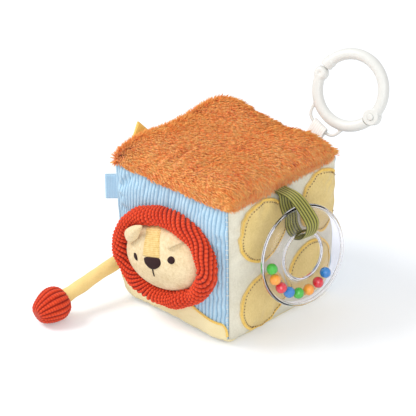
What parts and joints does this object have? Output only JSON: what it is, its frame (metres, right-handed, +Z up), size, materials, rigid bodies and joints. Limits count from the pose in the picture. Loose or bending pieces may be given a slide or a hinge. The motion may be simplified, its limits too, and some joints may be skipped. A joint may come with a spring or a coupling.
{
  "type": "soft fabric block",
  "caption": "Soft baby activity block: stuffed fabric cube with a lion face, tail, ribbon tags, a bead rattle ring on a loop and a plastic hanging ring on a strap.",
  "frame": {"origin": "middle of the flat bottom of the block, on the ground", "axes": "+Z up; -Y out of the face with the lion; +X out of the dotted face with the rattle ring"},
  "size_m": [0.154, 0.2182, 0.1704],
  "materials": {
    "fibre": "loose fibre",
    "fur": "long pile",
    "blue_corduroy": "corduroy",
    "red_corduroy": "ribbed plush",
    "cream_weave": "plain weave",
    "yellow_weave": "plain weave",
    "velour": "velour",
    "blue_ribbon": "satin ribbon",
    "yellow_ribbon": "satin ribbon",
    "olive_ribbon": "grosgrain ribbon",
    "white_ribbon": "woven ribbon",
    "dark_thread": "embroidered",
    "yellow_thread": "woven",
    "clear_plastic": "clear gloss",
    "green_plastic": "gloss",
    "orange_plastic": "gloss",
    "red_plastic": "gloss",
    "blue_plastic": "gloss",
    "white_plastic": "satin"
  },
  "bodies": {
    "block": {"stuffing": "fibre", "top_fur_panel": "fur", "bottom_panel": "velour", "front_corduroy_panel": "blue_corduroy", "back_panel": "blue_corduroy", "left_panel": "yellow_weave", "right_woven_panel": "cream_weave", "lion_body_patch": "velour", "dot_patch_1": "yellow_weave", "dot_patch_2": "yellow_weave", "dot_patch_3": "yellow_weave", "dot_patch_4": "yellow_weave", "mane_ring": "red_corduroy", "lion_head": "velour", "lion_ear_left": "velour", "lion_ear_right": "velour", "nose_patch": "dark_thread", "eye_left": "dark_thread", "eye_right": "dark_thread", "mouth_stitch": "dark_thread", "forehead_stripe": "yellow_thread"},
    "ribbon_loop": {"ring_loop": "olive_ribbon"},
    "rattle": {"rattle_shell_front": "clear_plastic", "rattle_shell_back": "clear_plastic"},
    "beads": {"bead_1": "green_plastic", "bead_2": "orange_plastic", "bead_3": "red_plastic", "bead_4": "blue_plastic", "bead_5": "green_plastic", "bead_6": "orange_plastic", "bead_7": "red_plastic", "bead_8": "blue_plastic"},
    "strap": {"clip_strap": "white_ribbon"},
    "clip": {"clip_body": "white_plastic", "clip_hinge_pin": "white_plastic"},
    "gate": {"clip_gate": "white_plastic"},
    "tail": {"tail_tube": "yellow_weave"},
    "tuft": {"tail_tuft": "red_corduroy"},
    "blue_label": {"blue_tag": "blue_ribbon"},
    "yellow_label": {"yellow_tag": "yellow_ribbon"}
  },
  "joints": [
    {"name": "loop_flex", "type": "hinge", "parent": "block", "child": "ribbon_loop", "pos_m": [0.05269, -0.0056, 0.10333], "axis": [0, -1, 0], "range_deg": [0, 80]},
    {"name": "ring_swing", "type": "hinge", "parent": "ribbon_loop", "child": "rattle", "pos_m": [0.06689, 0, 0.08333], "axis": [-0.1478, -0.989, 0], "range_deg": [-8, 38]},
    {"name": "bead_roll", "type": "hinge", "parent": "rattle", "child": "beads", "pos_m": [0.07081, -0.00059, 0.05824], "axis": [0.9768, -0.146, 0.1564], "continuous": true},
    {"name": "strap_flex", "type": "hinge", "parent": "block", "child": "strap", "pos_m": [0.024, 0.0526, 0.10327], "axis": [-1, 0, 0], "range_deg": [-30, 75]},
    {"name": "clip_swing", "type": "hinge", "parent": "strap", "child": "clip", "pos_m": [0.02582, 0.06608, 0.11596], "axis": [-0.8842, -0.0156, 0.4668], "range_deg": [-40, 70]},
    {"name": "gate_hinge", "type": "hinge", "parent": "clip", "child": "gate", "pos_m": [0.06089, 0.07951, 0.13], "axis": [-0.2052, 0.9107, -0.3584], "range_deg": [0, 60]},
    {"name": "tail_lift", "type": "hinge", "parent": "block", "child": "tail", "pos_m": [-0.05449, -0.05449, 0.026], "axis": [-0.9962, 0.0872, 0], "range_deg": [0, 60]},
    {"name": "tuft_flex", "type": "hinge", "parent": "tail", "child": "tuft", "pos_m": [-0.05844, -0.09967, 0.01507], "axis": [-0.0204, -0.2335, 0.9721], "range_deg": [-20, 20]},
    {"name": "blue_tag_flex", "type": "hinge", "parent": "block", "child": "blue_label", "pos_m": [-0.05159, -0.05159, 0.0855], "axis": [0, 0, 1], "range_deg": [-75, 75]},
    {"name": "yellow_tag_flex", "type": "hinge", "parent": "block", "child": "yellow_label", "pos_m": [-0.0524, -0.027, 0.10313], "axis": [0, -1, 0], "range_deg": [-5, 75]}
  ]
}
